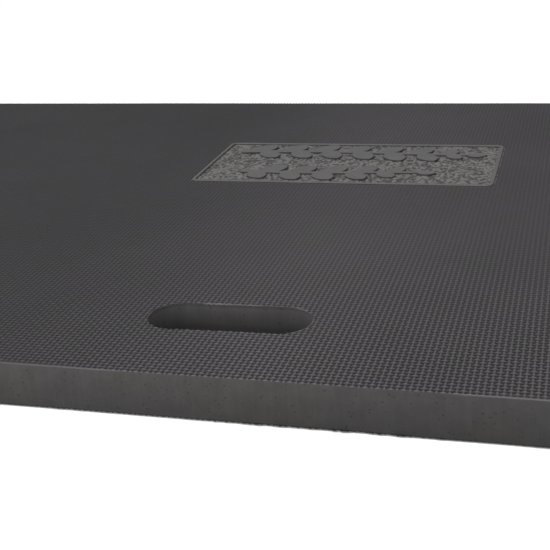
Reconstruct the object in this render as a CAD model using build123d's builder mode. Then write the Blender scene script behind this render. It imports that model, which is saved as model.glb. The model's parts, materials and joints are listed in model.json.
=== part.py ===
from build123d import *
import math
import os

# Garden kneeling pad: a thick slab of closed-cell foam with a die-cut hand
# slot, a moulded skin on each face, and a decorative badge let into the top.
# Frame: origin at the middle of the underside, +X along the long side,
# -Y towards the edge with the hand slot, +Z up. Millimetres.

# ---- pad ----
PAD_X = 914.4            # long side (36 in)
PAD_Y = 609.6            # short side (24 in)
PAD_T = 26.0             # over both skins (nominal 1 in sheet)
CORNER_R = 3.0           # the die leaves the four upright corners just off sharp

SKIN_BOTTOM = 1.2        # moulded skin under the foam
SKIN_TOP = 1.4           # moulded skin over the foam, to the crown of its weave
RELIEF = 0.8             # depth of the weave moulded into the skins

# ---- hand slot, die-cut through everything ----
SLOT_L = 96.5            # end to end
SLOT_W = 37.0
SLOT_X = -3.0
SLOT_Y = -231.3          # its middle is 73.5 from the near edge
SLOT_TURN = 1.2          # degrees; the slot is cut a touch out of square with the edge

# ---- badge ----
BADGE_X = 3.0            # middle of the badge
BADGE_Y = 87.5
RIM_L = 242.0            # outside of the raised rim
RIM_D = 116.5
RIM_R = 6.0
RIM_W = 3.2              # width of the bead
LAND = 1.0               # smooth margin between the rim and the woven skin
PLATE_T = 1.6            # badge plate
RAISE = 1.4              # rim and sprigs stand this far above the plate

# ---- derived levels ----
Z_CORE0 = SKIN_BOTTOM
Z_CORE1 = PAD_T - SKIN_TOP
Z_FIELD = PAD_T - RELIEF          # top of the badge plate, level with the weave's valleys
Z_PLATE0 = Z_FIELD - PLATE_T      # floor of the pocket in the foam

WINDOW_L = RIM_L + 2 * LAND
WINDOW_D = RIM_D + 2 * LAND
WINDOW_R = RIM_R + LAND

os.makedirs("parts", exist_ok=True)

# ---- foam core: the slab between the skins, with a shallow pocket for the badge ----
with BuildPart() as foam_core:
    with BuildSketch(Plane.XY.offset(Z_CORE0)):
        RectangleRounded(PAD_X, PAD_Y, CORNER_R)
        with Locations((SLOT_X, SLOT_Y)):
            SlotOverall(SLOT_L, SLOT_W, rotation=SLOT_TURN, mode=Mode.SUBTRACT)
    extrude(amount=Z_CORE1 - Z_CORE0)
    with BuildSketch(Plane.XY.offset(Z_PLATE0)):
        with Locations((BADGE_X, BADGE_Y)):
            RectangleRounded(WINDOW_L, WINDOW_D, WINDOW_R)
    extrude(amount=Z_CORE1 - Z_PLATE0, mode=Mode.SUBTRACT)
foam_core.part.label = "foam_core"
export_step(foam_core.part, "parts/foam_core.step")

# ---- bottom skin: full sheet with the hand slot ----
with BuildPart() as bottom_skin:
    with BuildSketch(Plane.XY):
        RectangleRounded(PAD_X, PAD_Y, CORNER_R)
        with Locations((SLOT_X, SLOT_Y)):
            SlotOverall(SLOT_L, SLOT_W, rotation=SLOT_TURN, mode=Mode.SUBTRACT)
    extrude(amount=SKIN_BOTTOM)
bottom_skin.part.label = "bottom_skin"
export_step(bottom_skin.part, "parts/bottom_skin.step")

# ---- top skin: full sheet with the hand slot and the window for the badge ----
with BuildPart() as top_skin:
    with BuildSketch(Plane.XY.offset(Z_CORE1)):
        RectangleRounded(PAD_X, PAD_Y, CORNER_R)
        with Locations((SLOT_X, SLOT_Y)):
            SlotOverall(SLOT_L, SLOT_W, rotation=SLOT_TURN, mode=Mode.SUBTRACT)
        with Locations((BADGE_X, BADGE_Y)):
            RectangleRounded(WINDOW_L, WINDOW_D, WINDOW_R, mode=Mode.SUBTRACT)
    extrude(amount=SKIN_TOP)
top_skin.part.label = "top_skin"
export_step(top_skin.part, "parts/top_skin.step")

# ---- badge plate: fills the window, its face level with the weave's valleys ----
with BuildPart() as badge_plate:
    with BuildSketch(Plane.XY.offset(Z_PLATE0)):
        with Locations((BADGE_X, BADGE_Y)):
            RectangleRounded(WINDOW_L, WINDOW_D, WINDOW_R)
    extrude(amount=PLATE_T)
badge_plate.part.label = "badge_plate"
export_step(badge_plate.part, "parts/badge_plate.step")

# ---- badge rim: a raised bead all round, its top edges eased ----
with BuildPart() as badge_rim:
    with BuildSketch(Plane.XY.offset(Z_FIELD)):
        with Locations((BADGE_X, BADGE_Y)):
            RectangleRounded(RIM_L, RIM_D, RIM_R)
            RectangleRounded(RIM_L - 2 * RIM_W, RIM_D - 2 * RIM_W, RIM_R - RIM_W, mode=Mode.SUBTRACT)
    extrude(amount=RAISE)
    rim_top = badge_rim.faces().sort_by(Axis.Z)[-1]
    fillet(rim_top.edges(), radius=0.8)
badge_rim.part.label = "badge_rim"
export_step(badge_rim.part, "parts/badge_rim.step")


# ---- sprigs: a gently waving stem with leaves on both sides, raised from the plate ----
STEM_W0 = 6.2            # stem width at its foot
STEM_W1 = 3.4            # and at its tip
STEM_WAVE = 2.6          # how far the stem swings either side of its line
UPPER_X0, UPPER_X1, UPPER_Y = -100.0, 96.0, 117.0
LOWER_X0, LOWER_X1, LOWER_Y = -84.0, 62.0, 59.0

# Each leaf is (place along the stem from 0 to 1, side, length, width, lean from
# the stem's line in degrees).
UPPER_LEAVES = [
    (0.06, 1, 26.0, 17.0, 52), (0.10, -1, 24.0, 16.5, 50),
    (0.20, 1, 25.0, 17.0, 50), (0.24, -1, 25.5, 17.0, 49),
    (0.34, 1, 25.0, 17.0, 49), (0.38, -1, 24.5, 16.5, 50),
    (0.48, 1, 24.5, 17.0, 50), (0.52, -1, 25.0, 17.0, 50),
    (0.62, 1, 25.5, 17.0, 50), (0.66, -1, 26.0, 17.0, 52),
    (0.76, 1, 24.0, 15.5, 48), (0.80, -1, 24.5, 15.5, 50),
    (0.89, 1, 18.0, 12.5, 44), (0.92, -1, 16.0, 11.5, 42),
    (1.00, 1, 16.0, 11.5, 0),
]
LOWER_LEAVES = [
    (0.07, -1, 22.5, 15.5, 50), (0.13, 1, 25.0, 17.0, 52),
    (0.26, -1, 23.5, 16.5, 50), (0.31, 1, 24.0, 16.5, 50),
    (0.44, -1, 23.5, 16.5, 50), (0.49, 1, 24.5, 17.0, 50),
    (0.62, -1, 23.5, 15.5, 50), (0.67, 1, 23.0, 15.5, 50),
    (0.79, -1, 18.5, 13.0, 46), (0.84, 1, 18.0, 12.5, 46),
    (1.00, 1, 15.0, 10.5, 0),
]


def stem_place(x0, x1, y, flip, t):
    """Point of the stem's middle line and its heading in degrees, at t from 0 to 1."""
    swing = 1.5 * math.pi
    rise = flip * STEM_WAVE * math.sin(swing * t)
    slope = flip * STEM_WAVE * swing * math.cos(swing * t) / (x1 - x0)
    return x0 + (x1 - x0) * t, y + rise, math.degrees(math.atan(slope))


def stem_edge(x0, x1, y, flip, side):
    """Points along one edge of the tapering stem."""
    points = []
    for i in range(9):
        t = i / 8
        px, py, heading = stem_place(x0, x1, y, flip, t)
        half = side * (STEM_W0 + (STEM_W1 - STEM_W0) * t) / 2
        turn = math.radians(heading)
        points.append((px - half * math.sin(turn), py + half * math.cos(turn)))
    return points


def leaf_points(place, side, length, width, lean):
    """Foot, left side, tip and right side of a pointed leaf that starts 1 mm behind its place."""
    px, py, heading = place
    turn = math.radians(heading + side * lean)
    ax, ay = math.cos(turn), math.sin(turn)
    mx, my = px + ax * length * 0.46, py + ay * length * 0.46
    half = width / 2
    return ((px - ax, py - ay), (mx - ay * half, my + ax * half),
            (px + ax * length, py + ay * length), (mx + ay * half, my - ax * half))


# ---- upper sprig ----
with BuildPart() as upper_sprig:
    with BuildSketch(Plane.XY.offset(Z_FIELD)):
        with BuildLine():
            above = Spline(*stem_edge(UPPER_X0, UPPER_X1, UPPER_Y, 1, 1))
            below = Spline(*stem_edge(UPPER_X0, UPPER_X1, UPPER_Y, 1, -1))
            Line(above @ 0, below @ 0)
            Line(above @ 1, below @ 1)
        make_face()
        for t, side, length, width, lean in UPPER_LEAVES:
            foot, left, tip, right = leaf_points(stem_place(UPPER_X0, UPPER_X1, UPPER_Y, 1, t), side, length, width, lean)
            with BuildLine():
                ThreePointArc(foot, left, tip)
                ThreePointArc(tip, right, foot)
            make_face()
    extrude(amount=RAISE)
upper_sprig.part.label = "upper_sprig"
export_step(upper_sprig.part, "parts/upper_sprig.step")

# ---- lower sprig ----
with BuildPart() as lower_sprig:
    with BuildSketch(Plane.XY.offset(Z_FIELD)):
        with BuildLine():
            above = Spline(*stem_edge(LOWER_X0, LOWER_X1, LOWER_Y, -1, 1))
            below = Spline(*stem_edge(LOWER_X0, LOWER_X1, LOWER_Y, -1, -1))
            Line(above @ 0, below @ 0)
            Line(above @ 1, below @ 1)
        make_face()
        for t, side, length, width, lean in LOWER_LEAVES:
            foot, left, tip, right = leaf_points(stem_place(LOWER_X0, LOWER_X1, LOWER_Y, -1, t), side, length, width, lean)
            with BuildLine():
                ThreePointArc(foot, left, tip)
                ThreePointArc(tip, right, foot)
            make_face()
    extrude(amount=RAISE)
lower_sprig.part.label = "lower_sprig"
export_step(lower_sprig.part, "parts/lower_sprig.step")

for made in (foam_core, bottom_skin, top_skin, badge_plate, badge_rim, upper_sprig, lower_sprig):
    size = made.part.bounding_box().size
    print(made.part.label, "solids", len(made.part.solids()), "volume", round(made.part.volume, 1), "size", [round(v, 2) for v in (size.X, size.Y, size.Z)])
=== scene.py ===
import json
import math

import bpy
import numpy as np
from mathutils import Matrix, Vector
from mathutils.geometry import delaunay_2d_cdt


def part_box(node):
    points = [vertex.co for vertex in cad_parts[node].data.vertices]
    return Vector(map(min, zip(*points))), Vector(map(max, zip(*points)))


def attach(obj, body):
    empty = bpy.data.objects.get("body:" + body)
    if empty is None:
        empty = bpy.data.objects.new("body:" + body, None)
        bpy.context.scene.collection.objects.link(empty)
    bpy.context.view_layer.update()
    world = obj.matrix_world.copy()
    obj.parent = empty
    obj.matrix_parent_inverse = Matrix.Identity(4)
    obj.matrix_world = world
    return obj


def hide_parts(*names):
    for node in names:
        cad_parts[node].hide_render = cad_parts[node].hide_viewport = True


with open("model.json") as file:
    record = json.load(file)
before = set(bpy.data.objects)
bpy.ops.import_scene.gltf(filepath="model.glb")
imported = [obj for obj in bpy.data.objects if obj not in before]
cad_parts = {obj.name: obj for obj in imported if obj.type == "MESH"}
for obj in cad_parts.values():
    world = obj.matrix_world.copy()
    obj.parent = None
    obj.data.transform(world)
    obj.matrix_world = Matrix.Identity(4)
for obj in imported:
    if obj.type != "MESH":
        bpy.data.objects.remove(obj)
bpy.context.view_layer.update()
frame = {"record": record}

record = frame["record"]

# ----------------------------------------------------------------------------
# Sizes. Everything below is in millimetres in the row frame; meshes are scaled
# to metres as they are written.
# ----------------------------------------------------------------------------


def box_mm(node):
    lo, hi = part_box(node)
    return [v * 1000 for v in lo], [v * 1000 for v in hi]


(core_lo, core_hi) = box_mm("foam_core")
(skin_lo, skin_hi) = box_mm("top_skin")
(sole_lo, sole_hi) = box_mm("bottom_skin")
(plate_lo, plate_hi) = box_mm("badge_plate")
(rim_lo, rim_hi) = box_mm("badge_rim")
(upper_lo, upper_hi) = box_mm("upper_sprig")
(lower_lo, lower_hi) = box_mm("lower_sprig")

PAD_X = core_hi[0] - core_lo[0]
PAD_Y = core_hi[1] - core_lo[1]
PAD_CX = (core_hi[0] + core_lo[0]) / 2
PAD_CY = (core_hi[1] + core_lo[1]) / 2
CORNER_R = 3.0
Z_CROWN = skin_hi[2]                 # crown of the top weave
Z_JOIN = skin_lo[2]                  # top skin meets the core
Z_SOLE = sole_hi[2]                  # bottom skin meets the core
Z_FLOOR = sole_lo[2]
Z_FIELD = plate_hi[2]                # face of the badge plate

slot_at = next(m for m in record["mounts"] if m["name"] == "hand_slot")["pos_m"]
SLOT_X, SLOT_Y = slot_at[0] * 1000, slot_at[1] * 1000
SLOT_L, SLOT_W, SLOT_TURN = 96.5, 37.0, math.radians(1.2)

WIN_L, WIN_D, WIN_R = plate_hi[0] - plate_lo[0], plate_hi[1] - plate_lo[1], 7.0
WIN_X, WIN_Y = (plate_hi[0] + plate_lo[0]) / 2, (plate_hi[1] + plate_lo[1]) / 2
RIM_L, RIM_D, RIM_R, RIM_W = rim_hi[0] - rim_lo[0], rim_hi[1] - rim_lo[1], 6.0, 3.2

PITCH = 3.175                        # yarn spacing of the moulded weave
CELLS_X = int(round(PAD_X / PITCH))
CELLS_Y = int(round(PAD_Y / PITCH))
RELIEF = 0.85

# ----------------------------------------------------------------------------
# Noise and distance fields
# ----------------------------------------------------------------------------


def _hash(ix, iy, iz, seed):
    h = (
        ix.astype(np.uint32) * np.uint32(374761393)
        + iy.astype(np.uint32) * np.uint32(668265263)
        + iz.astype(np.uint32) * np.uint32(2246822519)
        + np.uint32((seed * 3266489917) % (1 << 32))
    )
    h ^= h >> np.uint32(15)
    h *= np.uint32(2246822519)
    h ^= h >> np.uint32(13)
    h *= np.uint32(3266489917)
    h ^= h >> np.uint32(16)
    return h.astype(np.float64) / 2147483648.0 - 1.0


def noise(x, y, z, seed=0):
    """Smooth value noise from -1 to 1, one feature per unit."""
    x, y, z = np.broadcast_arrays(
        np.asarray(x, float), np.asarray(y, float), np.asarray(z, float)
    )
    ix, iy, iz = np.floor(x).astype(np.int64), np.floor(y).astype(np.int64), np.floor(z).astype(np.int64)
    fx, fy, fz = x - ix, y - iy, z - iz
    fx, fy, fz = (f * f * f * (f * (f * 6 - 15) + 10) for f in (fx, fy, fz))
    total = 0.0
    for dx in (0, 1):
        for dy in (0, 1):
            for dz in (0, 1):
                w = (fx if dx else 1 - fx) * (fy if dy else 1 - fy) * (fz if dz else 1 - fz)
                total = total + w * _hash(ix + dx, iy + dy, iz + dz, seed)
    return total


def step(lo, hi, x):
    t = np.clip((x - lo) / (hi - lo), 0, 1)
    return t * t * (3 - 2 * t)


def sd_round_rect(x, y, cx, cy, w, d, r):
    qx = np.abs(x - cx) - (w / 2 - r)
    qy = np.abs(y - cy) - (d / 2 - r)
    return np.hypot(np.maximum(qx, 0), np.maximum(qy, 0)) + np.minimum(np.maximum(qx, qy), 0) - r


def sd_slot(x, y):
    r = SLOT_W / 2
    c, s = math.cos(SLOT_TURN), math.sin(SLOT_TURN)
    along = (x - SLOT_X) * c + (y - SLOT_Y) * s
    across = (y - SLOT_Y) * c - (x - SLOT_X) * s
    return np.hypot(np.maximum(np.abs(along) - (SLOT_L / 2 - r), 0), across) - r


def sd_pad(x, y):
    return sd_round_rect(x, y, PAD_CX, PAD_CY, PAD_X, PAD_Y, CORNER_R)


def sd_window(x, y):
    return sd_round_rect(x, y, WIN_X, WIN_Y, WIN_L, WIN_D, WIN_R)


def die_wave(x, y, z):
    """How far a die-cut face stands off its true line: slow bulges and fine knife marks."""
    slow = 0.16 * noise(x / 38, y / 38, z / 40, 3) + 0.10 * noise(x / 13, y / 13, z / 17, 4)
    fine = 0.035 * noise(x / 2.1, y / 2.1, z / 30, 5)
    return slow + fine - 0.12


def gradient(sdf, x, y):
    e = 0.02
    gx = (sdf(x + e, y) - sdf(x - e, y)) / (2 * e)
    gy = (sdf(x, y + e) - sdf(x, y - e)) / (2 * e)
    n = np.maximum(np.hypot(gx, gy), 1e-9)
    return gx / n, gy / n


# ----------------------------------------------------------------------------
# The moulded weave: a plain weave of flat yarns with a pit at every corner
# between them. Heights run from 0 in the pits to 1 on the crowns.
# ----------------------------------------------------------------------------

FINE = np.array([0.23, 0.40, 0.60, 0.77])      # where a yarn's sides and crown lie in one pitch
FINE_OVER = np.array([
    [0.00, 0.44, 0.44, 0.00],
    [0.78, 1.00, 1.00, 0.78],
    [0.78, 1.00, 1.00, 0.78],
    [0.00, 0.44, 0.44, 0.00],
])
COARSE = np.array([0.22, 0.50, 0.78])
COARSE_OVER = np.array([
    [0.00, 0.34, 0.00],
    [0.75, 1.00, 0.75],
    [0.00, 0.34, 0.00],
])
WARP = 0.88                                    # the yarns across lie a little lower
X0 = core_lo[0] - 0.30 * PITCH                 # the sheet is cut part way through a yarn
Y0 = core_lo[1] - 0.29 * PITCH


def weave_table(over):
    under = over.T * WARP
    return np.block([[over, under], [under, over]])


def weave(x, y, marks, table):
    nodes = np.concatenate([marks, marks + 1])
    low = np.concatenate([[nodes[-1] - 2], nodes])
    high = np.concatenate([nodes, [nodes[0] + 2]])
    n = len(nodes)

    def place(t):
        t = np.mod(t, 2)
        k = np.searchsorted(nodes, t + 1e-7, side="right")
        f = np.clip((t - low[k]) / (high[k] - low[k]), 0, 1)
        return (k - 1) % n, k % n, f

    a, b, fu = place((x - X0) / PITCH)
    c, d, fv = place((y - Y0) / PITCH)
    return (
        table[c, a] * (1 - fu) * (1 - fv)
        + table[c, b] * fu * (1 - fv)
        + table[d, a] * (1 - fu) * fv
        + table[d, b] * fu * fv
    )


# ----------------------------------------------------------------------------
# Sheets cut from a grid by a distance field
# ----------------------------------------------------------------------------


def clip_grid(xs, ys, sdf):
    """Grid faces where sdf <= 0, cut along sdf = 0. Returns points (N, 2), quads (M, 4) and a list of cut faces."""
    X, Y = np.meshgrid(xs, ys)
    S = sdf(X, Y)
    inside = S <= 0
    a, b, c, d = inside[:-1, :-1], inside[:-1, 1:], inside[1:, 1:], inside[1:, :-1]
    n = a.astype(int) + b + c + d
    full, cross = n == 4, (n > 0) & (n < 4)
    used = np.zeros_like(inside)
    some = n > 0
    used[:-1, :-1] |= some
    used[:-1, 1:] |= some
    used[1:, 1:] |= some
    used[1:, :-1] |= some
    used &= inside
    vid = -np.ones(inside.shape, np.int64)
    vid[used] = np.arange(used.sum())
    points = np.stack([X[used], Y[used]], -1)
    J, I = np.nonzero(full)
    quads = np.stack([vid[J, I], vid[J, I + 1], vid[J + 1, I + 1], vid[J + 1, I]], -1)
    ends, edge_id, polys = [], {}, []
    base = len(points)
    for j, i in zip(*np.nonzero(cross)):
        corners = [(j, i), (j, i + 1), (j + 1, i + 1), (j + 1, i)]
        poly = []
        for k in range(4):
            p, q = corners[k], corners[(k + 1) % 4]
            if inside[p]:
                poly.append(int(vid[p]))
            if inside[p] != inside[q]:
                key = (p, q) if inside[p] else (q, p)
                if key not in edge_id:
                    edge_id[key] = base + len(ends)
                    (pj, pi), (qj, qi) = key
                    ends.append((xs[pi], ys[pj], xs[qi], ys[qj]))
                poly.append(edge_id[key])
        if len(poly) >= 3:
            polys.append(poly)
    if ends:
        e = np.array(ends)
        lo, hi = np.zeros(len(e)), np.ones(len(e))
        for _ in range(24):
            t = (lo + hi) / 2
            s = sdf(e[:, 0] + (e[:, 2] - e[:, 0]) * t, e[:, 1] + (e[:, 3] - e[:, 1]) * t)
            lo, hi = np.where(s <= 0, t, lo), np.where(s <= 0, hi, t)
        t = np.clip((lo + hi) / 2, 0.02, 0.98)
        cut = np.stack([e[:, 0] + (e[:, 2] - e[:, 0]) * t, e[:, 1] + (e[:, 3] - e[:, 1]) * t], -1)
        points = np.concatenate([points, cut])
    return points, quads, polys


def edges_of(quads, polys):
    parts = [quads[:, [k, (k + 1) % 4]] for k in range(4)] if len(quads) else []
    if polys:
        parts.append(np.array([(p[k], p[(k + 1) % len(p)]) for p in polys for k in range(len(p))], np.int64))
    return np.concatenate(parts)


def open_edges(quads, polys, count):
    """Directed edges that only one face uses."""
    e = edges_of(quads, polys)
    key, back = e[:, 0] * count + e[:, 1], e[:, 1] * count + e[:, 0]
    return e[~np.isin(key, back)]


def cap(points, edges):
    """Triangles, counter-clockwise, that fill the region on the left of the directed edges of closed outlines."""
    ids = np.unique(edges)
    local = {int(v): k for k, v in enumerate(ids)}
    co = [Vector((float(points[v][0]), float(points[v][1]))) for v in ids]
    ed = [(local[int(a)], local[int(b)]) for a, b in edges]
    _, _, faces, orig, _, _ = delaunay_2d_cdt(co, ed, [], 1, 1e-7)
    back = [o[0] if len(o) else -1 for o in orig]
    tris, owner = [], {}
    for f in faces:
        t = [back[v] for v in f]
        if min(t) < 0 or len(set(t)) < 3:
            continue
        p = [co[v] for v in t]
        if (p[1].x - p[0].x) * (p[2].y - p[0].y) < (p[1].y - p[0].y) * (p[2].x - p[0].x):
            t = t[::-1]
        for k in range(3):
            owner[(t[k], t[(k + 1) % 3])] = len(tris)
        tris.append(t)
    fixed = set(ed) | {(b, a) for a, b in ed}
    inside = {owner[e] for e in ed if e in owner}
    queue = list(inside)
    while queue:
        t = tris[queue.pop()]
        for k in range(3):
            e = (t[k], t[(k + 1) % 3])
            if e in fixed:
                continue
            other = owner.get((e[1], e[0]))
            if other is not None and other not in inside:
                inside.add(other)
                queue.append(other)
    return [[int(ids[v]) for v in tris[k]] for k in sorted(inside)]


def face_normals(co, quads, polys):
    """Summed corner normals of each point."""
    total = np.zeros_like(co)
    if len(quads):
        a, b, c, d = (co[quads[:, k]] for k in range(4))
        n = np.cross(c - a, d - b)
        for k in range(4):
            np.add.at(total, quads[:, k], n)
    by_size = {}
    for p in polys:
        by_size.setdefault(len(p), []).append(p)
    for size, group in by_size.items():
        g = np.array(group)
        n = np.zeros((len(g), 3))
        for k in range(1, size - 1):
            n += np.cross(co[g[:, k]] - co[g[:, 0]], co[g[:, k + 1]] - co[g[:, 0]])
        for k in range(size):
            np.add.at(total, g[:, k], n)
    length = np.linalg.norm(total, axis=1, keepdims=True)
    return total / np.maximum(length, 1e-12)


def make_mesh(name, co, faces, normals=None, attributes=None):
    """A mesh object from points in mm, a list of face arrays or lists, and optional corner normals in the same order."""
    flat, sizes = [], []
    for group in faces:
        if isinstance(group, np.ndarray):
            flat.append(group.ravel())
            sizes.append(np.full(len(group), group.shape[1]))
        elif len(group):
            flat.append(np.array([v for f in group for v in f], np.int64))
            sizes.append(np.array([len(f) for f in group]))
    flat, sizes = np.concatenate(flat), np.concatenate(sizes)
    mesh = bpy.data.meshes.new(name)
    mesh.vertices.add(len(co))
    mesh.vertices.foreach_set("co", (np.asarray(co) * 0.001).astype(np.float32).ravel())
    mesh.loops.add(len(flat))
    mesh.loops.foreach_set("vertex_index", flat.astype(np.int32))
    mesh.polygons.add(len(sizes))
    mesh.polygons.foreach_set("loop_start", np.concatenate([[0], np.cumsum(sizes)[:-1]]).astype(np.int32))
    mesh.update(calc_edges=True)
    mesh.polygons.foreach_set("use_smooth", np.ones(len(sizes), bool))
    for key, values in (attributes or {}).items():
        layer = mesh.attributes.new(key, "FLOAT", "POINT")
        layer.data.foreach_set("value", np.asarray(values, np.float32))
    if normals is not None:
        mesh.normals_split_custom_set(np.asarray(normals, np.float32).tolist())
    mesh.update()
    obj = bpy.data.objects.new(name, mesh)
    bpy.context.scene.collection.objects.link(obj)
    return obj


def ring_out(points, quads, polys, sdf, inset, distances):
    """Adds strips from the cut line at sdf = -inset out to the true line. Returns points, the strip quads and each
    new point's distance inside the true line.
    """
    count = len(points)
    e = open_edges(quads, polys, count)
    on = np.unique(e)
    mine = np.abs(sdf(points[on, 0], points[on, 1]) + inset) < 0.08
    on = on[mine]
    table = -np.ones(count, np.int64)
    table[on] = np.arange(len(on))
    e = e[(table[e[:, 0]] >= 0) & (table[e[:, 1]] >= 0)]
    gx, gy = gradient(sdf, points[on, 0], points[on, 1])
    last = on.copy()
    strips, new_points, new_d = [], [], []
    for d in distances:
        ids = count + sum(len(p) for p in new_points) + np.arange(len(on))
        new_points.append(np.stack([points[on, 0] + gx * (inset - d), points[on, 1] + gy * (inset - d)], -1))
        new_d.append(np.full(len(on), float(d)))
        a, b = table[e[:, 0]], table[e[:, 1]]
        strips.append(np.stack([last[b], last[a], ids[a], ids[b]], -1))
        last = ids
    return np.concatenate([points] + new_points), np.concatenate(strips), np.concatenate(new_d)


# ----------------------------------------------------------------------------
# Woven skins, in closed tiles that meet on the lines between yarns
# ----------------------------------------------------------------------------


def arris_radius(x, y):
    """The moulded skin is drawn down over the edge by the press more in some stretches than in others."""
    front = step(-PAD_Y / 2 + 60, -PAD_Y / 2 + 5, y)
    left = step(-20, -75, x) * front
    right = step(118, 150, x) * front
    other = 0.5 + 0.5 * noise(x / 130, y / 130, 0.5, 11)
    return 0.34 + 1.15 * np.maximum(left, 0.75 * right) + 0.7 * (1 - front) * other


def edge_fade(x, y, inside, up):
    """Weave depth near the pad's edge: full in some stretches, pressed flat in others."""
    front = step(-PAD_Y / 2 + 60, -PAD_Y / 2 + 5, y)
    if up:
        flat = np.maximum(step(-35, -80, x), 0.85 * step(128, 160, x)) * front
    else:
        flat = np.maximum(step(-70, -110, x), 0.8 * step(95, 130, x)) * front
    flat = np.maximum(flat, (1 - front) * step(-0.1, 0.5, noise(x / 110, y / 110, 3.5, 12)))
    return (1 - 0.85 * flat * step(4.2, 1.2, inside)) * (1 - (0.22 if up else 0.0) * step(1.0, 0.1, inside))


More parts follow.
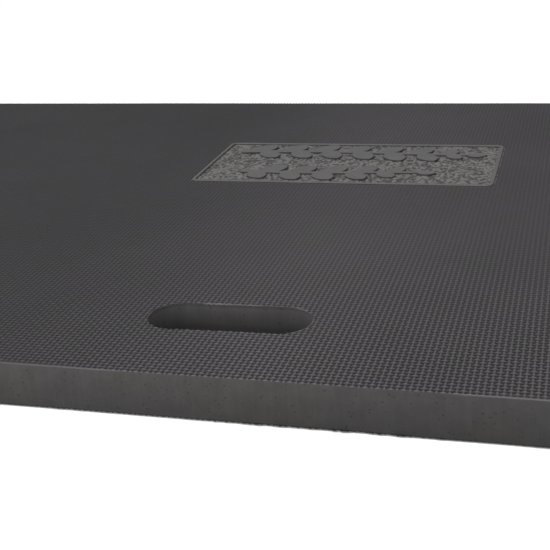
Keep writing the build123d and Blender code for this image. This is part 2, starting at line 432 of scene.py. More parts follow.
def woven_skin(prefix, marks, over, columns, rows, z_crown, z_join, up, depth):
    table = weave_table(over)
    xs = X0 + PITCH * (np.arange(-1, CELLS_X + 2)[:, None] + marks[None, :]).ravel()
    ys = Y0 + PITCH * (np.arange(-1, CELLS_Y + 2)[:, None] + marks[None, :]).ravel()
    inset, slot_inset = 1.9, 1.5

    def region(x, y):
        s = np.maximum(sd_pad(x, y) + inset, slot_inset - sd_slot(x, y))
        return np.maximum(s, -sd_window(x, y)) if up else s

    points, quads, polys = clip_grid(xs, ys, region)
    sheet_count = len(points)
    points, outer, outer_d = ring_out(
        points, quads, polys, sd_pad, inset, [1.55, 1.2, 0.9, 0.62, 0.38, 0.2, 0.08, 0.015, 0.0]
    )
    after_outer = len(points)
    quads_all = np.concatenate([quads, outer])
    points, inner, inner_d = ring_out(
        points, quads_all, polys, lambda x, y: -sd_slot(x, y), slot_inset, [1.2, 0.92, 0.66, 0.42, 0.22, 0.08, 0.015, 0.0]
    )
    quads = np.concatenate([quads_all, inner])
    x, y = points[:, 0], points[:, 1]

    inside = -sd_pad(x, y)
    off_slot = sd_slot(x, y)
    h = weave(x, y, marks, table)
    h = 0.62 + (h - 0.62) * edge_fade(x, y, inside, up)
    # a few yarns stand a touch prouder or flatter, and the press was not quite even
    h = h * (1 + 0.05 * noise(x / 2.3, y / 2.3, 0.5, 21)) + 0.03 * noise(x / 31, y / 31, 0.5, 22)
    h = np.clip(h, 0, 1.0)
    sunk = (1 - h) * depth
    if up:  # pressed a little shallower away from the near edge and towards the left end
        sunk = sunk * (1 - 0.30 * step(-262, -120, y)) * (1 - 0.16 * step(-60, -150, x))
    z = z_crown - sunk if up else sunk
    cut = np.zeros(len(points))
    room = (z - z_join) if up else (z_join - z)
    r_outer = arris_radius(x, y) if up else np.full(len(x), 0.30)
    r_inner = 0.45 + 0.80 * step(33, 44, x) + 0.25 * step(-0.2, 0.6, noise(x / 9, y / 9, 1.5, 13))
    drop = np.zeros(len(points))
    for r, dist in ((r_outer, inside), (r_inner, off_slot)):
        t = np.clip(dist / r, 0, 1)
        drop = np.maximum(drop, np.minimum(r, 0.6 * room) * (1 - np.sqrt(1 - (1 - t) ** 2)))
        cut = np.maximum(cut, step(0.22, 0.0, t))
    z = z - drop if up else z + drop

    # the die's wander, growing towards the cut face
    push = step(1.6, 0.0, inside) * (inside < 1.9)
    gx, gy = gradient(sd_pad, x, y)
    wave = die_wave(x, y, z) * push
    x, y = x + gx * wave, y + gy * wave
    if not up:  # the underside's skin is left with a ragged lip by the die
        front = step(-PAD_Y / 2 + 40, -PAD_Y / 2 + 5, points[:, 1])
        torn = 0.25 + 0.75 * step(-25, 0, points[:, 0]) * step(135, 105, points[:, 0]) * front
        lip = noise(points[:, 0] / 2.6, points[:, 1] / 2.6, 7.5, 15) + 0.5 * noise(points[:, 0] / 1.1, points[:, 1] / 1.1, 8.5, 16)
        lip = 0.95 * torn * np.clip(lip + 0.05, 0, 1.1) * step(0.62, 0.0, inside) * (inside < 1.9)
        x, y = x + gx * lip, y + gy * lip
    push = step(1.2, 0.0, off_slot) * (off_slot < 1.5)
    gx, gy = gradient(sd_slot, points[:, 0], points[:, 1])
    wave = die_wave(points[:, 0], points[:, 1], z) * push
    x, y = x - gx * wave, y - gy * wave

    # painted highlight: the drawn-down edge of the slot is painted paler in broken stretches; painted shade: the
    # underside's skin is painted darker towards its edge
    shade = h.copy()
    painted_edge_shade = np.zeros(len(points))
    if up:
        painted_rim_highlight = step(1.3, 0.3, off_slot) * step(-0.35, 0.35, noise(x / 7, y / 7, 2.5, 14))
        shade = shade + painted_rim_highlight * (1.05 - shade)
        # painted highlight: a band along the outer edge, where the skin is drawn further down, is painted paler
        painted_edge_highlight = step(2.0, 0.8, inside) * step(0.5, 1.1, r_outer)
        shade = shade + painted_edge_highlight * (0.86 - shade)
    else:
        # painted shade, darkest at the underside skin's edge
        painted_edge_shade = step(1.0, 0.2, inside)
        shade = shade * (1 - painted_edge_shade)
        cut = cut * 0.1

    co = np.stack([x, y, z], -1)
    normals = face_normals(co, quads, polys)
    if not up:
        normals = face_normals(co * [1, 1, -1], quads, polys) * [1, 1, -1]

    # each face belongs to the tile its middle lies in; tiles part along the pits
    def tile_of(cx, cy):
        col, row = np.zeros(len(cx), int), np.zeros(len(cy), int)
        for k in range(1, columns):
            line = X0 + PITCH * round((core_lo[0] + PAD_X * k / columns - X0) / PITCH) - 0.01
            col += cx > line
        for k in range(1, rows):
            line = Y0 + PITCH * round((core_lo[1] + PAD_Y * k / rows - Y0) / PITCH) - 0.01
            row += cy > line
        return row * columns + col

    quad_tile = tile_of(points[quads, 0].mean(1), points[quads, 1].mean(1))
    poly_tile = [
        int(tile_of(np.array([points[p, 0].mean()]), np.array([points[p, 1].mean()]))[0]) for p in polys
    ]
    row_names = {4: ["near", "mid_near", "mid_far", "far"], 2: ["near", "far"], 1: [""]}[rows]
    col_names = {3: ["left", "middle", "right"]}[columns]
    made = []
    for tile in range(rows * columns):
        q = quads[quad_tile == tile]
        p = [polys[k] for k in range(len(polys)) if poly_tile[k] == tile]
        ids = np.unique(np.concatenate([q.ravel(), np.array([v for f_ in p for v in f_], np.int64)]))
        table = -np.ones(len(points), np.int64)
        table[ids] = np.arange(len(ids))
        q = table[q]
        p = [[int(table[v]) for v in f_] for f_ in p]
        tco, tn = co[ids], normals[ids]
        e = open_edges(q, p, len(ids))
        rim = np.unique(e)
        low = -np.ones(len(ids), np.int64)
        low[rim] = len(ids) + np.arange(len(rim))
        base_co = tco[rim].copy()
        bx, by = points[ids[rim], 0], points[ids[rim], 1]
        gx, gy = gradient(sd_pad, bx, by)
        on_outer = np.abs(sd_pad(bx, by)) < 0.08
        on_slot = np.abs(sd_slot(bx, by)) < 0.08
        wave = die_wave(bx, by, z_join)
        base_co[on_outer, 0] = (bx + gx * wave)[on_outer]
        base_co[on_outer, 1] = (by + gy * wave)[on_outer]
        sx, sy = gradient(sd_slot, bx, by)
        base_co[on_slot, 0] = (bx - sx * wave)[on_slot]
        base_co[on_slot, 1] = (by - sy * wave)[on_slot]
        base_co[:, 2] = z_join
        side = np.zeros((len(ids), 3))
        side[rim] = np.where(on_outer[:, None], np.stack([gx, gy, 0 * gx], -1), 0) + np.where(
            on_slot[:, None], np.stack([-sx, -sy, 0 * sx], -1), 0
        )
        walls = np.stack([e[:, 1], e[:, 0], low[e[:, 0]], low[e[:, 1]]], -1)
        run = tco[e[:, 1]] - tco[e[:, 0]]
        flat = np.stack([run[:, 1], -run[:, 0], 0 * run[:, 0]], -1)
        flat /= np.maximum(np.linalg.norm(flat, axis=1, keepdims=True), 1e-9)
        pick = np.linalg.norm(side, axis=1) > 0.5
        wn = np.stack(
            [
                np.where(pick[e[:, 1]][:, None], side[e[:, 1]], flat),
                np.where(pick[e[:, 0]][:, None], side[e[:, 0]], flat),
                np.where(pick[e[:, 0]][:, None], side[e[:, 0]], flat),
                np.where(pick[e[:, 1]][:, None], side[e[:, 1]], flat),
            ],
            1,
        )
        all_co = np.concatenate([tco, base_co])
        floor_edges = low[e]
        under = cap(all_co[:, :2], floor_edges)
        under = [f_[::-1] for f_ in under]
        cap_n = np.tile([0.0, 0.0, -1.0], (3 * len(under), 1))
        corner = [tn[q.ravel()]]
        if p:
            corner.append(tn[np.array([v for f_ in p for v in f_])])
        corner += [wn.reshape(-1, 3), cap_n]
        corner = np.concatenate(corner)
        faces = [q, p, walls, under]
        if not up:  # built as if seen from above, so every face is turned over
            sizes = [4] * len(q) + [len(f_) for f_ in p] + [4] * len(walls) + [3] * len(under)
            starts = np.concatenate([[0], np.cumsum(sizes)])
            order = np.concatenate([np.arange(starts[k + 1] - 1, starts[k] - 1, -1) for k in range(len(sizes))])
            corner = corner[order]
            corner[-3 * len(under):] = [0.0, 0.0, 1.0]
            faces = [q[:, ::-1], [f_[::-1] for f_ in p], walls[:, ::-1], [f_[::-1] for f_ in under]]
        name = "_".join(v for v in (prefix, row_names[tile // columns], col_names[tile % columns]) if v)
        obj = make_mesh(
            name,
            all_co,
            faces,
            corner,
            {
                # painted shade: the underside's wall gets a low relief value and part of the painted edge shade
                "relief": np.concatenate([shade[ids], np.full(len(rim), 0.5 if up else 0.1)]),
                "cut": np.concatenate([cut[ids], np.where(on_outer | on_slot, 1.0 if up else 0.5, 0.0)]),
                "painted_edge_shade": np.concatenate([painted_edge_shade[ids], np.full(len(rim), 0.0 if up else 0.45)]),
            },
        )
        made.append(obj)
    return made


top_tiles = woven_skin("top_skin", FINE, FINE_OVER, 3, 4, Z_CROWN, Z_JOIN, True, RELIEF)
sole_tiles = woven_skin("bottom_skin", COARSE, COARSE_OVER, 3, 2, Z_FLOOR, Z_SOLE, False, 0.8)

# ----------------------------------------------------------------------------
# Foam core: die-cut side faces and slot, flat where the skins lie, with the
# shallow pocket under the badge
# ----------------------------------------------------------------------------


def outline(sdf, box, spacing):
    """Evenly spaced points on sdf = 0 inside box, counter-clockwise, from a fan of rays out of its middle."""
    (x0, y0), (x1, y1) = box
    cx, cy = (x0 + x1) / 2, (y0 + y1) / 2
    n = 6000
    ang = np.linspace(0, 2 * np.pi, n, endpoint=False)
    reach = np.hypot(x1 - x0, y1 - y0)
    lo, hi = np.zeros(n), np.full(n, reach)
    for _ in range(40):
        t = (lo + hi) / 2
        s = sdf(cx + np.cos(ang) * t, cy + np.sin(ang) * t)
        lo, hi = np.where(s <= 0, t, lo), np.where(s <= 0, hi, t)
    px, py = cx + np.cos(ang) * lo, cy + np.sin(ang) * lo
    px, py = np.append(px, px[0]), np.append(py, py[0])
    length = np.concatenate([[0], np.cumsum(np.hypot(np.diff(px), np.diff(py)))])
    m = int(round(length[-1] / spacing))
    at = np.linspace(0, length[-1], m, endpoint=False)
    return np.stack([np.interp(at, length, px), np.interp(at, length, py)], -1)


def foam_core():
    pad = outline(sd_pad, ((core_lo[0], core_lo[1]), (core_hi[0], core_hi[1])), 1.6)
    hole = outline(
        sd_slot,
        ((SLOT_X - SLOT_L / 2, SLOT_Y - SLOT_W / 2), (SLOT_X + SLOT_L / 2, SLOT_Y + SLOT_W / 2)),
        1.0,
    )
    win = outline(sd_window, ((plate_lo[0], plate_lo[1]), (plate_hi[0], plate_hi[1])), 2.0)
    levels = np.linspace(Z_SOLE, Z_JOIN, 17)
    co, normals, quads = [], [], []
    count = 0
    ends = {}
    for key, line, sdf, sign in (("pad", pad, sd_pad, 1), ("hole", hole, sd_slot, -1)):
        m = len(line)
        gx, gy = gradient(sdf, line[:, 0], line[:, 1])
        gx, gy = gx * sign, gy * sign
        for z in levels:
            wave = die_wave(line[:, 0], line[:, 1], z)
            co.append(np.stack([line[:, 0] + gx * wave, line[:, 1] + gy * wave, np.full(m, z)], -1))
            normals.append(np.stack([gx, gy, 0 * gx], -1))
        k = np.arange(m)
        nxt = (k + 1) % m
        for r in range(len(levels) - 1):
            a, b = count + r * m, count + (r + 1) * m
            strip = np.stack([a + k, a + nxt, b + nxt, b + k], -1)
            quads.append(strip if sign > 0 else strip[:, ::-1])
        ends[key] = (count + k, count + (len(levels) - 1) * m + k)
        count += len(levels) * m
    side_quads = np.concatenate(quads)
    deep = np.concatenate(
        [np.zeros(len(levels) * len(pad)), np.repeat((Z_JOIN - levels) / (Z_JOIN - Z_SOLE), len(hole))]
    )
    # pocket
    m = len(win)
    z_pocket = plate_lo[2]
    co.append(np.stack([win[:, 0], win[:, 1], np.full(m, Z_JOIN)], -1))
    co.append(np.stack([win[:, 0], win[:, 1], np.full(m, z_pocket)], -1))
    k = np.arange(m)
    nxt = (k + 1) % m
    lip, floor = count + k, count + m + k
    pocket_walls = np.stack([lip[nxt], floor[nxt], floor[k], lip[k]], -1)[:, ::-1]
    count += 2 * m
    co = np.concatenate(co)
    loop = lambda ids: np.stack([ids, np.roll(ids, -1)], -1)
    top = cap(co[:, :2], np.concatenate([loop(ends["pad"][1]), loop(ends["hole"][1])[:, ::-1], loop(lip)[:, ::-1]]))
    bottom = cap(co[:, :2], np.concatenate([loop(ends["pad"][0]), loop(ends["hole"][0])[:, ::-1]]))
    pocket = cap(co[:, :2], loop(floor))
    bottom = [f[::-1] for f in bottom]
    side_n = face_normals(co, side_quads, [])
    flat_quads = pocket_walls
    run = co[flat_quads[:, 1]] - co[flat_quads[:, 0]]
    qn = np.cross(co[flat_quads[:, 2]] - co[flat_quads[:, 0]], co[flat_quads[:, 3]] - co[flat_quads[:, 1]])
    qn /= np.maximum(np.linalg.norm(qn, axis=1, keepdims=True), 1e-9)
    corner = np.concatenate(
        [
            side_n[side_quads.ravel()],
            np.repeat(qn, 4, axis=0),
            np.tile([0.0, 0, 1], (3 * len(top), 1)),
            np.tile([0.0, 0, -1], (3 * len(bottom), 1)),
            np.tile([0.0, 0, 1], (3 * len(pocket), 1)),
        ]
    )
    deep = np.concatenate([deep, np.zeros(len(co) - len(deep))])
    return make_mesh("cut_foam_core", co, [side_quads, flat_quads, top, bottom, pocket], corner, {"deep": deep})


core = foam_core()

# ----------------------------------------------------------------------------
# Badge
# ----------------------------------------------------------------------------


def closed_sheet(name, xs, ys, sdf, inset, distances, height, z_base, radius, extra=None):
    """A raised flat piece: a clipped top with a rounded shoulder, upright walls and a flat base."""
    points, quads, polys = clip_grid(xs, ys, lambda x, y: sdf(x, y) + inset)
    if distances:
        points, strips, _ = ring_out(points, quads, polys, sdf, inset, distances)
        quads = np.concatenate([quads, strips])
    x, y = points[:, 0], points[:, 1]
    z = height(x, y)
    inside = np.clip(-sdf(x, y), 0, None)
    if radius > 0:
        z = z - np.where(inside < radius, radius - np.sqrt(np.maximum(radius**2 - (radius - inside) ** 2, 0)), 0)
    co = np.stack([x, y, z], -1)
    n = face_normals(co, quads, polys)
    e = open_edges(quads, polys, len(co))
    rim = np.unique(e)
    low = -np.ones(len(co), np.int64)
    low[rim] = len(co) + np.arange(len(rim))
    base = co[rim].copy()
    base[:, 2] = z_base
    gx, gy = gradient(sdf, co[rim, 0], co[rim, 1])
    side = np.zeros((len(co), 3))
    side[rim] = np.stack([gx, gy, 0 * gx], -1)
    walls = np.stack([e[:, 1], e[:, 0], low[e[:, 0]], low[e[:, 1]]], -1)
    wn = np.stack([side[e[:, 1]], side[e[:, 0]], side[e[:, 0]], side[e[:, 1]]], 1).reshape(-1, 3)
    all_co = np.concatenate([co, base])
    under = [f[::-1] for f in cap(all_co[:, :2], low[e])]
    corner = [n[quads.ravel()]]
    if polys:
        corner.append(n[np.array([v for f in polys for v in f])])
    corner += [wn, np.tile([0.0, 0, -1], (3 * len(under), 1))]
    attributes = {k: np.concatenate([v(x, y), np.zeros(len(rim))]) for k, v in (extra or {}).items()}
    return make_mesh(name, all_co, [quads, polys, walls, under], np.concatenate(corner), attributes)


def pebble(x, y):
    """Stippled ground of the badge, 0 to 1."""
    a = noise(x / 1.6, y / 2.2, 0.5, 31)
    b = noise(x / 1.0 + 7, y / 1.3, 0.5, 32)
    c = noise(x / 5.5, y / 6.0 + 3, 0.5, 33)
    v = 0.5 + 0.70 * a + 0.42 * b + 0.15 * c
    return step(0.0, 1.0, v)


def field_height(x, y):
    """The ground is stippled inside the rim and smooth on the land round it."""
    inner = sd_round_rect(x, y, WIN_X, WIN_Y, RIM_L - 2 * RIM_W, RIM_D - 2 * RIM_W, RIM_R - RIM_W)
    return Z_FIELD - 0.62 * (1 - pebble(x, y)) * step(0.6, -0.8, inner)


def grid(lo, hi, size):
    return np.linspace(lo, hi, int(round((hi - lo) / size)) + 1)


plate = closed_sheet(
    "badge_plate_stippled",
    grid(plate_lo[0], plate_hi[0], 0.62),
    grid(plate_lo[1], plate_hi[1], 0.62),
    sd_window,
    0.0,
    [],
    field_height,
    plate_lo[2],
    0.0,
    {"stipple": pebble},
)


def rim_bead():
    """The raised bead round the badge, swept round a rounded rectangle."""
    mid = lambda x, y: sd_round_rect(x, y, WIN_X, WIN_Y, RIM_L - RIM_W, RIM_D - RIM_W, RIM_R - RIM_W / 2)
    line = outline(mid, ((rim_lo[0], rim_lo[1]), (rim_hi[0], rim_hi[1])), 1.2)
    gx, gy = gradient(mid, line[:, 0], line[:, 1])
    top = rim_hi[2] - Z_FIELD
    half = RIM_W / 2
    profile = [(-half, 0.0), (-half * 0.97, top * 0.45)]
    for k in range(9):
        a = math.pi - math.pi * k / 8
        profile.append((half * 0.95 * math.cos(a) * (1 if abs(math.cos(a)) > 0.2 else 1), top * 0.58 + top * 0.42 * math.sin(a)))
    profile += [(half * 0.97, top * 0.45), (half, 0.0)]
    co = []
    m = len(line)
    for off, up in profile:
        wander = 0.05 * noise(line[:, 0] / 9, line[:, 1] / 9, off, 41)
        lift = 0.05 * noise(line[:, 0] / 14, line[:, 1] / 14, 2.5, 42) - 0.05
        co.append(
            np.stack(
                [
                    line[:, 0] + gx * (off + wander),
                    line[:, 1] + gy * (off + wander),
                    Z_FIELD + np.full(m, up) + (lift if up > top * 0.5 else 0),
                ],
                -1,
            )
        )
    co = np.concatenate(co)
    k = np.arange(m)
    nxt = (k + 1) % m
    quads = []
    n = len(profile)
    for r in range(n):
        a, b = r * m, ((r + 1) % n) * m
        quads.append(np.stack([a + k, a + nxt, b + nxt, b + k], -1))
    shell, base = np.concatenate(quads[:-1])[:, ::-1], quads[-1][:, ::-1]
    normals = face_normals(co, shell, [])
    if normals[len(profile) // 2 * m, 2] < 0:
        shell, base, normals = shell[:, ::-1], base[:, ::-1], -normals
    corner = np.concatenate([normals[shell.ravel()], np.tile([0.0, 0, -1], (4 * len(base), 1))])
    return make_mesh("badge_rim_bead", co, [shell, base], corner)


bead = rim_bead()

# The sprigs repeat the CAD outlines: a waving, tapering stem and pointed leaves
# made of two arcs each.
STEM_W0, STEM_W1, STEM_WAVE = 6.2, 3.4, 2.6
UPPER = (-100.0, 96.0, 117.0, 1)
LOWER = (-84.0, 62.0, 59.0, -1)
UPPER_LEAVES = [
    (0.06, 1, 26.0, 17.0, 52), (0.10, -1, 24.0, 16.5, 50),
    (0.20, 1, 25.0, 17.0, 50), (0.24, -1, 25.5, 17.0, 49),
    (0.34, 1, 25.0, 17.0, 49), (0.38, -1, 24.5, 16.5, 50),
    (0.48, 1, 24.5, 17.0, 50), (0.52, -1, 25.0, 17.0, 50),
    (0.62, 1, 25.5, 17.0, 50), (0.66, -1, 26.0, 17.0, 52),
    (0.76, 1, 24.0, 15.5, 48), (0.80, -1, 24.5, 15.5, 50),
    (0.89, 1, 18.0, 12.5, 44), (0.92, -1, 16.0, 11.5, 42),
    (1.00, 1, 16.0, 11.5, 0),
]
LOWER_LEAVES = [
    (0.07, -1, 22.5, 15.5, 50), (0.13, 1, 25.0, 17.0, 52),
    (0.26, -1, 23.5, 16.5, 50), (0.31, 1, 24.0, 16.5, 50),
    (0.44, -1, 23.5, 16.5, 50), (0.49, 1, 24.5, 17.0, 50),
    (0.62, -1, 23.5, 15.5, 50), (0.67, 1, 23.0, 15.5, 50),
    (0.79, -1, 18.5, 13.0, 46), (0.84, 1, 18.0, 12.5, 46),
    (1.00, 1, 15.0, 10.5, 0),
]


def stem_place(line, t):
    x0, x1, y, flip = line
    swing = 1.5 * math.pi
    slope = flip * STEM_WAVE * swing * np.cos(swing * t) / (x1 - x0)
    return x0 + (x1 - x0) * t, y + flip * STEM_WAVE * np.sin(swing * t), np.arctan(slope)


def smooth_max(a, b, k):
    h = np.clip(0.5 - 0.5 * (b - a) / k, 0, 1)
    return b * (1 - h) + a * h + k * h * (1 - h)


def smooth_min(a, b, k):
    return -smooth_max(-a, -b, k)


def leaf_frames(line, leaves):
    out = []
    for t, side, length, width, lean in leaves:
        px, py, heading = stem_place(line, t)
        out.append((float(px), float(py), float(heading) + side * math.radians(lean), length, width))
    return out


def sprig_sdf(line, leaves):
    frames = leaf_frames(line, leaves)

    def sdf(x, y):
        x0, x1 = line[0], line[1]
        t = np.clip((x - x0) / (x1 - x0), 0, 1)
        _, sy, heading = stem_place(line, t)
        half = (STEM_W0 + (STEM_W1 - STEM_W0) * t) / 2
        total = np.maximum(np.abs(y - sy) * np.cos(heading) - half, np.maximum(x0 - x, x - x1))
        for px, py, turn, length, width in frames:
            a = (x - px) * math.cos(turn) + (y - py) * math.sin(turn)
            b = -(x - px) * math.sin(turn) + (y - py) * math.cos(turn)
            # circle through the foot (-1, 0), the side (0.46 length, width/2) and the tip
            mx = (length - 1) / 2
            sx, sy_ = 0.46 * length, width / 2
            c = ((mx + 1) ** 2 - (sx - mx) ** 2 - sy_**2) / (-2 * sy_)
            r = math.hypot(mx + 1, c)
            s = smooth_max(np.hypot(a - mx, b - c) - r, np.hypot(a - mx, b + c) - r, 0.7)
            total = smooth_min(total, s, 0.9)
        return total

    return sdf, frames


def sprig(name, line, leaves, lo, hi):
    sdf, frames = sprig_sdf(line, leaves)
    crown = rim_hi[2] - 0.05

    def height(x, y):
        z = np.full(np.shape(x), crown)
        for px, py, turn, length, width in frames:
            a = (x - px) * math.cos(turn) + (y - py) * math.sin(turn)
            b = -(x - px) * math.sin(turn) + (y - py) * math.cos(turn)
            mid = np.exp(-((b / 0.55) ** 2)) * step(1.5, 4.0, a) * step(length * 0.97, length * 0.80, a)
            z = z - 0.42 * mid
        return z + 0.05 * noise(x / 5, y / 5, 0.5, 51)

    return closed_sheet(
        name,
        grid(lo[0] - 1.0, hi[0] + 1.0, 0.5),
        grid(lo[1] - 1.0, hi[1] + 1.0, 0.5),
        sdf,
        0.5,
        [0.36, 0.22, 0.11, 0.03, 0.0],
        height,
        Z_FIELD - 0.3,
        0.42,
    )


upper = sprig("badge_sprig_upper", UPPER, UPPER_LEAVES, upper_lo, upper_hi)
lower = sprig("badge_sprig_lower", LOWER, LOWER_LEAVES, lower_lo, lower_hi)

# ----------------------------------------------------------------------------
# Materials
# ----------------------------------------------------------------------------


class Nodes:
    def __init__(self, name):
        self.material = bpy.data.materials.new(name)
        self.material.use_nodes = True
        self.tree = self.material.node_tree
        self.tree.nodes.clear()
        self.out = self.add("ShaderNodeOutputMaterial")
        self.shader = self.add("ShaderNodeBsdfPrincipled")
        self.link(self.shader, "BSDF", self.out, "Surface")
        self.coords = self.add("ShaderNodeTexCoord")

    def add(self, kind, **settings):
        node = self.tree.nodes.new(kind)
        for key, value in settings.items():
            setattr(node, key, value)
        return node

    def link(self, a, out, b, into):
        self.tree.links.new(a.outputs[out], b.inputs[into])

    def noise(self, scale, detail=2.0, rough=0.5, stretch=None, distortion=0.0):
        """Noise in metres: scale is features per metre."""
        source = self.coords.outputs["Object"]
        if stretch:
            mapping = self.add("ShaderNodeMapping")
            mapping.inputs["Scale"].default_value = stretch
            self.tree.links.new(source, mapping.inputs["Vector"])
            source = mapping.outputs["Vector"]
        node = self.add("ShaderNodeTexNoise")
        node.inputs["Scale"].default_value = scale
        node.inputs["Detail"].default_value = detail
        node.inputs["Roughness"].default_value = rough
        node.inputs["Distortion"].default_value = distortion
        self.tree.links.new(source, node.inputs["Vector"])
        return node.outputs["Fac"]

    def voronoi(self, scale, stretch=None, feature="F1", random=1.0):
        source = self.coords.outputs["Object"]
        if stretch:
            mapping = self.add("ShaderNodeMapping")
            mapping.inputs["Scale"].default_value = stretch
            self.tree.links.new(source, mapping.inputs["Vector"])
            source = mapping.outputs["Vector"]
        node = self.add("ShaderNodeTexVoronoi", feature=feature)
        node.inputs["Scale"].default_value = scale
        node.inputs["Randomness"].default_value = random
        self.tree.links.new(source, node.inputs["Vector"])
        return node

    def attribute(self, name):
        node = self.add("ShaderNodeAttribute", attribute_name=name)
        return node.outputs["Fac"]

    def place(self, axis):
        node = self.add("ShaderNodeSeparateXYZ")
        self.tree.links.new(self.coords.outputs["Object"], node.inputs["Vector"])
        return node.outputs[axis]

    def height(self):
        return self.place("Z")

    def remap(self, socket, lo, hi, to_lo, to_hi, smooth=True):
        node = self.add("ShaderNodeMapRange", interpolation_type="SMOOTHSTEP" if smooth else "LINEAR")
        node.inputs["From Min"].default_value = lo
        node.inputs["From Max"].default_value = hi
        node.inputs["To Min"].default_value = to_lo
        node.inputs["To Max"].default_value = to_hi
        self.tree.links.new(socket, node.inputs["Value"])
        return node.outputs["Result"]

    def math(self, operation, a, b=None, clamp=False):
        node = self.add("ShaderNodeMath", operation=operation, use_clamp=clamp)
        for k, v in enumerate((a, b)):
            if v is None:
                continue
            if isinstance(v, (int, float)):
                node.inputs[k].default_value = v
            else:
                self.tree.links.new(v, node.inputs[k])
        return node.outputs["Value"]

    def mix(self, factor, a, b, blend="MIX"):
        node = self.add("ShaderNodeMix", data_type="RGBA", blend_type=blend)
        for key, v in ((0, factor), (6, a), (7, b)):
            if isinstance(v, (int, float)):
                node.inputs[key].default_value = v
            elif isinstance(v, tuple):
                node.inputs[key].default_value = (*v, 1.0)
            else:
                self.tree.links.new(v, node.inputs[key])
        return node.outputs[2]

    def scale_colour(self, colour, factor):
        """Colour times a number, from a colour socket or tuple and a value socket."""
        node = self.add("ShaderNodeVectorMath", operation="SCALE")
        if isinstance(colour, tuple):
            node.inputs[0].default_value = colour
        else:
            self.tree.links.new(colour, node.inputs[0])
        if isinstance(factor, (int, float)):
            node.inputs["Scale"].default_value = factor
        else:
            self.tree.links.new(factor, node.inputs["Scale"])
        return node.outputs["Vector"]

    def bump(self, height, distance, strength=1.0, before=None):
        node = self.add("ShaderNodeBump")
        node.inputs["Strength"].default_value = strength
        node.inputs["Distance"].default_value = distance
        self.tree.links.new(height, node.inputs["Height"])
        if before is not None:
            self.tree.links.new(before, node.inputs["Normal"])
        return node.outputs["Normal"]

    def to(self, socket, name):
        self.tree.links.new(socket, self.shader.inputs[name])


SKIN = (0.0525, 0.0489, 0.0538)
SKIN_WARM = (0.0525, 0.0502, 0.0510)
FOAM = (0.0345, 0.0335, 0.0316)
FOAM_COOL = (0.0336, 0.0320, 0.0328)
# FIELD and RAISED are lighter than the skin, partly a paler grey of their own and partly painted sheen from the
# smooth badge
FIELD = (0.1020, 0.0990, 0.0975)
RAISED = (0.0985, 0.0955, 0.0980)


def cut_foam_colour(n):
    """Colour, roughness and height of die-cut closed-cell foam: fine cells, a few open pores, faint knife drag."""
    cells = n.voronoi(1500.0)
    pores = n.voronoi(420.0)
    pick = n.noise(260.0, 1.0)
    open_pore = n.math(
        "MULTIPLY",
        n.remap(pores.outputs["Distance"], 0.12, 0.36, 1.0, 0.0),
        n.remap(pick, 0.50, 0.62, 0.0, 1.0),
    )
    drag = n.noise(1.0, 3.0, 0.6, stretch=(420.0, 420.0, 22.0))
    cloud = n.noise(17.0, 3.0, 0.55)
    mottle = n.noise(130.0, 2.0, 0.55)
    base = n.mix(n.remap(cloud, 0.38, 0.62, 0.0, 1.0), FOAM, FOAM_COOL)
    tone = n.math("MULTIPLY", n.remap(cells.outputs["Distance"], 0.05, 0.75, 0.93, 1.06), n.remap(drag, 0.3, 0.7, 0.95, 1.05))
    tone = n.math("MULTIPLY", tone, n.remap(mottle, 0.3, 0.7, 0.94, 1.06))
    # painted light and shade: the cut edge is painted paler along its left run and darker to the right
    tone = n.math("MULTIPLY", tone, n.remap(n.place("X"), -0.12, 0.17, 1.07, 0.90))
    # painted shade inside the open pores
    tone = n.math("MULTIPLY", tone, n.remap(open_pore, 0.0, 1.0, 1.0, 0.62, False))
    # painted shade: the cut faces are painted darker towards the bottom
    tone = n.math("MULTIPLY", tone, n.remap(n.height(), 0.0, 0.024, 0.70, 1.08, False))
    # painted light and shade: the slot's wall is painted brighter near its top and darker down it, where the light
    # fails quickly
    deep = n.attribute("deep")
    tone = n.math("MULTIPLY", tone, n.remap(deep, 0.0, 0.07, 1.55, 2.00, False))
    tone = n.math("MULTIPLY", tone, n.remap(deep, 0.07, 0.62, 1.0, 0.30, False))
    colour = n.scale_colour(base, tone)
    rough = n.remap(cells.outputs["Distance"], 0.0, 0.8, 0.80, 0.92)
    height = n.math("SUBTRACT", n.math("MULTIPLY", cells.outputs["Distance"], -0.35), n.math("MULTIPLY", open_pore, 1.0))
    height = n.math("ADD", height, n.math("MULTIPLY", drag, 0.5))
    return colour, rough, height


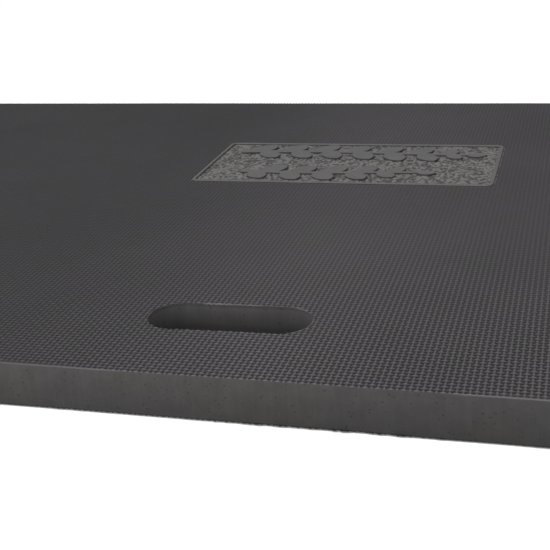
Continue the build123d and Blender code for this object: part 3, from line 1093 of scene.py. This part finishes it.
def skin_colour(n):
    """Colour, roughness and height of the moulded skin: satin crowns and duller pits, with painted shade in the
    pits, at the underside's edge and towards both ends, and painted highlight on the crowns and edges.
    """
    relief = n.attribute("relief")
    cloud = n.noise(7.0, 4.0, 0.6, distortion=0.4)
    patch = n.noise(34.0, 3.0, 0.55)
    grain = n.noise(1900.0, 2.0, 0.6)
    base = n.mix(n.remap(patch, 0.40, 0.64, 0.0, 0.7), SKIN, SKIN_WARM)
    tone = n.math("MULTIPLY", n.remap(cloud, 0.30, 0.70, 0.94, 1.06), n.remap(grain, 0.3, 0.7, 0.93, 1.07))
    # painted shade in the pits and painted highlight on the crowns, from the relief attribute; this painted shading
    # is strongest near the near edge and fades towards the far side and the left end
    painted_relief_contrast = n.math("MULTIPLY", n.remap(n.place("Y"), -0.285, -0.02, 1.06, 0.20), n.remap(n.place("X"), -0.20, -0.06, 0.55, 1.0))
    ramp = n.remap(relief, 0.22, 1.0, -0.70, 1.02, False)
    tone = n.math("MULTIPLY", tone, n.math("ADD", n.math("MULTIPLY", ramp, painted_relief_contrast), n.remap(painted_relief_contrast, 0.15, 1.0, 0.86, 1.0, False)))
    # painted shade: the skin is painted darker towards both ends, most at the left end
    tone = n.math("MULTIPLY", tone, n.remap(n.place("X"), -0.16, 0.035, 0.67, 1.0))
    tone = n.math("MULTIPLY", tone, n.remap(n.place("X"), 0.03, 0.15, 1.0, 0.87))
    # painted shade at the underside skin's edge
    tone = n.math("MULTIPLY", tone, n.remap(n.attribute("painted_edge_shade"), 0.0, 1.0, 1.0, 0.25, False))
    colour = n.scale_colour(base, tone)
    rough = n.math("ADD", n.remap(relief, 0.2, 1.0, 0.70, 0.47), n.remap(grain, 0.3, 0.7, -0.04, 0.05))
    return colour, rough, grain


def skin_material():
    n = Nodes("moulded_skin")
    s_col, s_rough, s_h = skin_colour(n)
    c_col, c_rough, c_h = cut_foam_colour(n)
    cut = n.attribute("cut")
    n.to(n.mix(cut, s_col, c_col), "Base Color")
    rough = n.math("ADD", n.math("MULTIPLY", s_rough, n.math("SUBTRACT", 1.0, cut)), n.math("MULTIPLY", c_rough, cut), True)
    n.to(rough, "Roughness")
    height = n.math("ADD", n.math("MULTIPLY", n.math("MULTIPLY", s_h, 0.35), n.math("SUBTRACT", 1.0, cut)), n.math("MULTIPLY", c_h, cut))
    n.to(n.bump(height, 0.00012, 0.55), "Normal")
    n.shader.inputs["Specular IOR Level"].default_value = 0.32
    return n.material


def foam_material():
    n = Nodes("die_cut_foam")
    colour, rough, height = cut_foam_colour(n)
    n.to(colour, "Base Color")
    n.to(rough, "Roughness")
    n.to(n.bump(height, 0.00014, 0.6), "Normal")
    n.shader.inputs["Specular IOR Level"].default_value = 0.22
    return n.material


def field_material():
    n = Nodes("stippled_field")
    stipple = n.attribute("stipple")
    cloud = n.noise(40.0, 3.0, 0.55)
    grain = n.noise(1500.0, 2.0, 0.6)
    # painted shade in the stipple's hollows and painted highlight on its tops
    tone = n.math("MULTIPLY", n.remap(stipple, 0.1, 0.9, 0.46, 1.40), n.remap(cloud, 0.3, 0.7, 0.94, 1.05))
    tone = n.math("MULTIPLY", tone, n.remap(grain, 0.3, 0.7, 0.94, 1.06))
    n.to(n.scale_colour(FIELD, tone), "Base Color")
    n.to(n.remap(stipple, 0.0, 1.0, 0.78, 0.60), "Roughness")
    n.to(n.bump(grain, 0.00008, 0.5), "Normal")
    n.shader.inputs["Specular IOR Level"].default_value = 0.3
    return n.material


def raised_material():
    n = Nodes("raised_foam")
    cloud = n.noise(60.0, 3.0, 0.55)
    grain = n.noise(1700.0, 2.0, 0.6)
    tone = n.math("MULTIPLY", n.remap(cloud, 0.3, 0.7, 0.95, 1.05), n.remap(grain, 0.3, 0.7, 0.95, 1.05))
    # painted shade: faces turned away from straight up, such as the walls of the bead and sprigs, are painted darker
    geometry = n.add("ShaderNodeNewGeometry")
    split = n.add("ShaderNodeSeparateXYZ")
    n.link(geometry, "Normal", split, "Vector")
    tone = n.math("MULTIPLY", tone, n.remap(split.outputs["Z"], 0.15, 0.85, 0.62, 1.0))
    n.to(n.scale_colour(RAISED, tone), "Base Color")
    n.to(n.remap(grain, 0.3, 0.7, 0.52, 0.64), "Roughness")
    n.to(n.bump(grain, 0.00006, 0.45), "Normal")
    n.shader.inputs["Specular IOR Level"].default_value = 0.32
    return n.material


skin = skin_material()
foam = foam_material()
field = field_material()
raised = raised_material()

for piece in top_tiles:
    piece.data.materials.append(skin)
    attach(piece, "root")
    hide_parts("top_skin")
for piece in sole_tiles:
    piece.data.materials.append(skin)
    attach(piece, "root")
    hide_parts("bottom_skin")
for piece, material, node, slot in (
    (core, foam, "foam_core", "cut_foam"),
    (plate, field, "badge_plate", "badge_field"),
    (bead, raised, "badge_rim", "badge_raised"),
    (upper, raised, "upper_sprig", "badge_raised"),
    (lower, raised, "lower_sprig", "badge_raised"),
):
    piece.data.materials.append(material)
    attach(piece, "root")
    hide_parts(node)

# ----------------------------------------------------------------------------
# Stage, light and camera
# ----------------------------------------------------------------------------

bpy.ops.mesh.primitive_plane_add(size=14.0, location=(0, 0, -0.0006))
floor = bpy.context.object
floor.name = "studio_floor"
floor_material = bpy.data.materials.new("studio_floor")
floor_material.use_nodes = True
shader = floor_material.node_tree.nodes["Principled BSDF"]
shader.inputs["Base Color"].default_value = (0.9, 0.9, 0.9, 1)
shader.inputs["Roughness"].default_value = 0.9
shader.inputs["Specular IOR Level"].default_value = 0.0
shader.inputs["Emission Color"].default_value = (1, 1, 1, 1)
shader.inputs["Emission Strength"].default_value = 0.12
floor.data.materials.append(floor_material)

world = bpy.data.worlds.new("studio")
bpy.context.scene.world = world
world.use_nodes = True
sky = world.node_tree.nodes["Background"]
sky.inputs["Strength"].default_value = 1.0
coords = world.node_tree.nodes.new("ShaderNodeTexCoord")
split = world.node_tree.nodes.new("ShaderNodeSeparateXYZ")
climb = world.node_tree.nodes.new("ShaderNodeMapRange")
climb.interpolation_type = "SMOOTHSTEP"
for key, value in (("From Min", 0.10), ("From Max", 0.85), ("To Min", 0.10), ("To Max", 0.50)):
    climb.inputs[key].default_value = value
world.node_tree.links.new(coords.outputs["Generated"], split.inputs["Vector"])
world.node_tree.links.new(split.outputs["Z"], climb.inputs["Value"])
world.node_tree.links.new(climb.outputs["Result"], sky.inputs["Color"])
backdrop = world.node_tree.nodes.new("ShaderNodeBackground")
backdrop.inputs["Color"].default_value = (1, 1, 1, 1)
path = world.node_tree.nodes.new("ShaderNodeLightPath")
pick = world.node_tree.nodes.new("ShaderNodeMixShader")
world.node_tree.links.new(path.outputs["Is Camera Ray"], pick.inputs[0])
world.node_tree.links.new(sky.outputs["Background"], pick.inputs[1])
world.node_tree.links.new(backdrop.outputs["Background"], pick.inputs[2])
world.node_tree.links.new(pick.outputs["Shader"], world.node_tree.nodes["World Output"].inputs["Surface"])


def sun(name, azimuth, elevation, spread, strength):
    """A broad distant light; azimuth is where it comes from, 0 = from the near side, 90 = from the left."""
    data = bpy.data.lights.new(name, "SUN")
    data.energy = strength
    data.angle = math.radians(spread)
    lamp = bpy.data.objects.new(name, data)
    bpy.context.scene.collection.objects.link(lamp)
    a, e = math.radians(azimuth), math.radians(elevation)
    toward = Vector((-math.sin(a) * math.cos(e), -math.cos(a) * math.cos(e), math.sin(e)))
    lamp.rotation_mode = "QUATERNION"
    lamp.rotation_quaternion = toward.to_track_quat("Z", "Y")
    lamp.location = toward * 2.0
    return lamp


sun("key", 48, 50, 45, 1.75)
sun("top", 10, 78, 60, 0.35)
sun("fill", -50, 30, 60, 0.15)

box = bpy.data.lights.new("softbox", "AREA")
box.shape = "RECTANGLE"
box.size, box.size_y = 0.9, 0.7
box.energy = 7.0
softbox = bpy.data.objects.new("softbox", box)
bpy.context.scene.collection.objects.link(softbox)
softbox.location = (0.10, -0.80, 1.15)
softbox.rotation_mode = "QUATERNION"
softbox.rotation_quaternion = (Vector((0.05, -0.2, 0.0)) - softbox.location).to_track_quat("-Z", "Y")

PITCH_DOWN, ROLL, YAW = (math.radians(v) for v in (21.4622, -3.7620, -16.5315))
forward = Vector((math.sin(YAW) * math.cos(PITCH_DOWN), math.cos(YAW) * math.cos(PITCH_DOWN), -math.sin(PITCH_DOWN)))
right = Vector((math.cos(YAW), -math.sin(YAW), 0.0))
upward = right.cross(forward)
right2 = math.cos(ROLL) * right + math.sin(ROLL) * upward
up2 = -math.sin(ROLL) * right + math.cos(ROLL) * upward
camera_data = bpy.data.cameras.new("camera")
camera = bpy.data.objects.new("camera", camera_data)
bpy.context.scene.collection.objects.link(camera)
camera_data.sensor_width = 36.0
camera_data.lens = 36.0 * 1095.085 / 550.0
camera_data.clip_start, camera_data.clip_end = 0.02, 60.0
basis = Matrix((right2, up2, -forward)).transposed().to_4x4()
camera.matrix_world = Matrix.Translation(Vector((0.1868364, -0.7736386, 0.2755529))) @ basis
bpy.context.scene.camera = camera

bpy.context.scene.view_settings.view_transform = "Standard"
bpy.context.scene.view_settings.look = "None"
